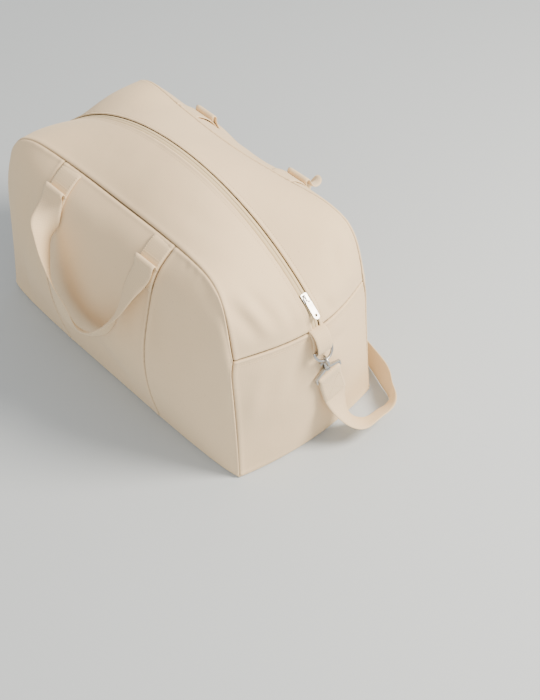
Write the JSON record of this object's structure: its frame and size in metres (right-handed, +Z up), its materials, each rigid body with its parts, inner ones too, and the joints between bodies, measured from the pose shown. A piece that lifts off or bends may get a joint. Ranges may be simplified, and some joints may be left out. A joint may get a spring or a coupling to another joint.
{
  "type": "duffel bag",
  "caption": "Soft barrel duffel bag with a domed zip top, two webbing grab handles and a clip-on shoulder strap, standing on its flat bottom.",
  "frame": {"origin": "middle of the flat bottom, on the surface the bag stands on", "axes": "+X along the bag towards the end where the closed zip slider rests, -Y out of the front side, +Z up"},
  "size_m": [0.64, 0.3922, 0.3397],
  "materials": {
    "canvas": "plain cotton canvas weave",
    "webbing": "heavy woven cotton tape",
    "zip_tape": "fine woven tape",
    "zip_coil": "nylon coil",
    "hardware": "nickel plated",
    "spring_steel": "plain spring wire"
  },
  "bodies": {
    "root": {"front_centre_panel": "canvas", "front_right_panel": "canvas", "front_left_panel": "canvas", "back_centre_panel": "canvas", "back_left_panel": "canvas", "back_right_panel": "canvas", "top_front_panel": "canvas", "top_back_panel": "canvas", "right_end_panel": "canvas", "left_end_panel": "canvas", "bottom_panel": "canvas", "zip_tape_front": "zip_tape", "zip_tape_back": "zip_tape", "zip_coil_front": "zip_coil", "zip_coil_back": "zip_coil", "zip_top_stops": "hardware", "zip_bottom_stop": "hardware", "front_handle_tab_right": "webbing", "front_handle_tab_left": "webbing", "back_handle_tab_right": "webbing", "back_handle_tab_left": "webbing", "ring_tab_right": "webbing", "ring_tab_left": "webbing", "shoulder_strap_right": "webbing", "shoulder_strap_left": "webbing", "strap_adjuster": "hardware"},
    "slider": {"zip_slider": "hardware"},
    "pull": {"zip_pull": "hardware"},
    "front_handle": {"front_handle": "webbing"},
    "back_handle": {"back_handle": "webbing"},
    "right_ring": {"d_ring_right": "hardware", "hook_base_right": "hardware", "strap_end_right": "webbing"},
    "right_hook": {"hook_body_right": "hardware", "hook_spring_right": "spring_steel"},
    "right_bolt": {"hook_bolt_right": "hardware"},
    "left_ring": {"d_ring_left": "hardware", "hook_base_left": "hardware", "strap_end_left": "webbing"},
    "left_hook": {"hook_body_left": "hardware", "hook_spring_left": "spring_steel"},
    "left_bolt": {"hook_bolt_left": "hardware"}
  },
  "joints": [
    {"name": "zip_slide", "type": "hinge", "parent": "root", "child": "slider", "pos_m": [0, 0, -0.0375], "axis": [0, -1, 0], "range_deg": [0, 83]},
    {"name": "zip_pull_swing", "type": "hinge", "parent": "slider", "child": "pull", "pos_m": [0.25199, 0, 0.24733], "axis": [0, -1, 0], "range_deg": [0, 160]},
    {"name": "front_handle_swing", "type": "hinge", "parent": "root", "child": "front_handle", "pos_m": [0, -0.1285, 0.283], "axis": [-1, 0, 0], "range_deg": [0, 175]},
    {"name": "back_handle_swing", "type": "hinge", "parent": "root", "child": "back_handle", "pos_m": [0, 0.1285, 0.283], "axis": [1, 0, 0], "range_deg": [0, 175]},
    {"name": "right_ring_swing", "type": "hinge", "parent": "root", "child": "right_ring", "pos_m": [0.2855, 0, 0.181], "axis": [0, -1, 0], "range_deg": [0, 75], "deforming": ["shoulder_strap_right"]},
    {"name": "right_hook_swivel", "type": "hinge", "parent": "right_ring", "child": "right_hook", "pos_m": [0.28653, 0.00666, 0.1466], "axis": [0, -0.2419, 0.9703], "range_deg": [-5, 20]},
    {"name": "right_bolt_slide", "type": "slide", "parent": "right_hook", "child": "right_bolt", "axis": [0, 0.2419, -0.9703], "range_m": [0, 0.0075], "stiffness_N_per_m": 120, "springref_m": -0.003, "deforming": ["hook_spring_right"]},
    {"name": "left_ring_swing", "type": "hinge", "parent": "root", "child": "left_ring", "pos_m": [-0.2855, 0, 0.181], "axis": [0, 1, 0], "range_deg": [0, 75], "deforming": ["shoulder_strap_left"]},
    {"name": "left_hook_swivel", "type": "hinge", "parent": "left_ring", "child": "left_hook", "pos_m": [-0.28653, 0.00666, 0.1466], "axis": [0, 0.2419, -0.9703], "range_deg": [-5, 20]},
    {"name": "left_bolt_slide", "type": "slide", "parent": "left_hook", "child": "left_bolt", "axis": [0, 0.2419, -0.9703], "range_m": [0, 0.0075], "stiffness_N_per_m": 120, "springref_m": -0.003, "deforming": ["hook_spring_left"]}
  ]
}
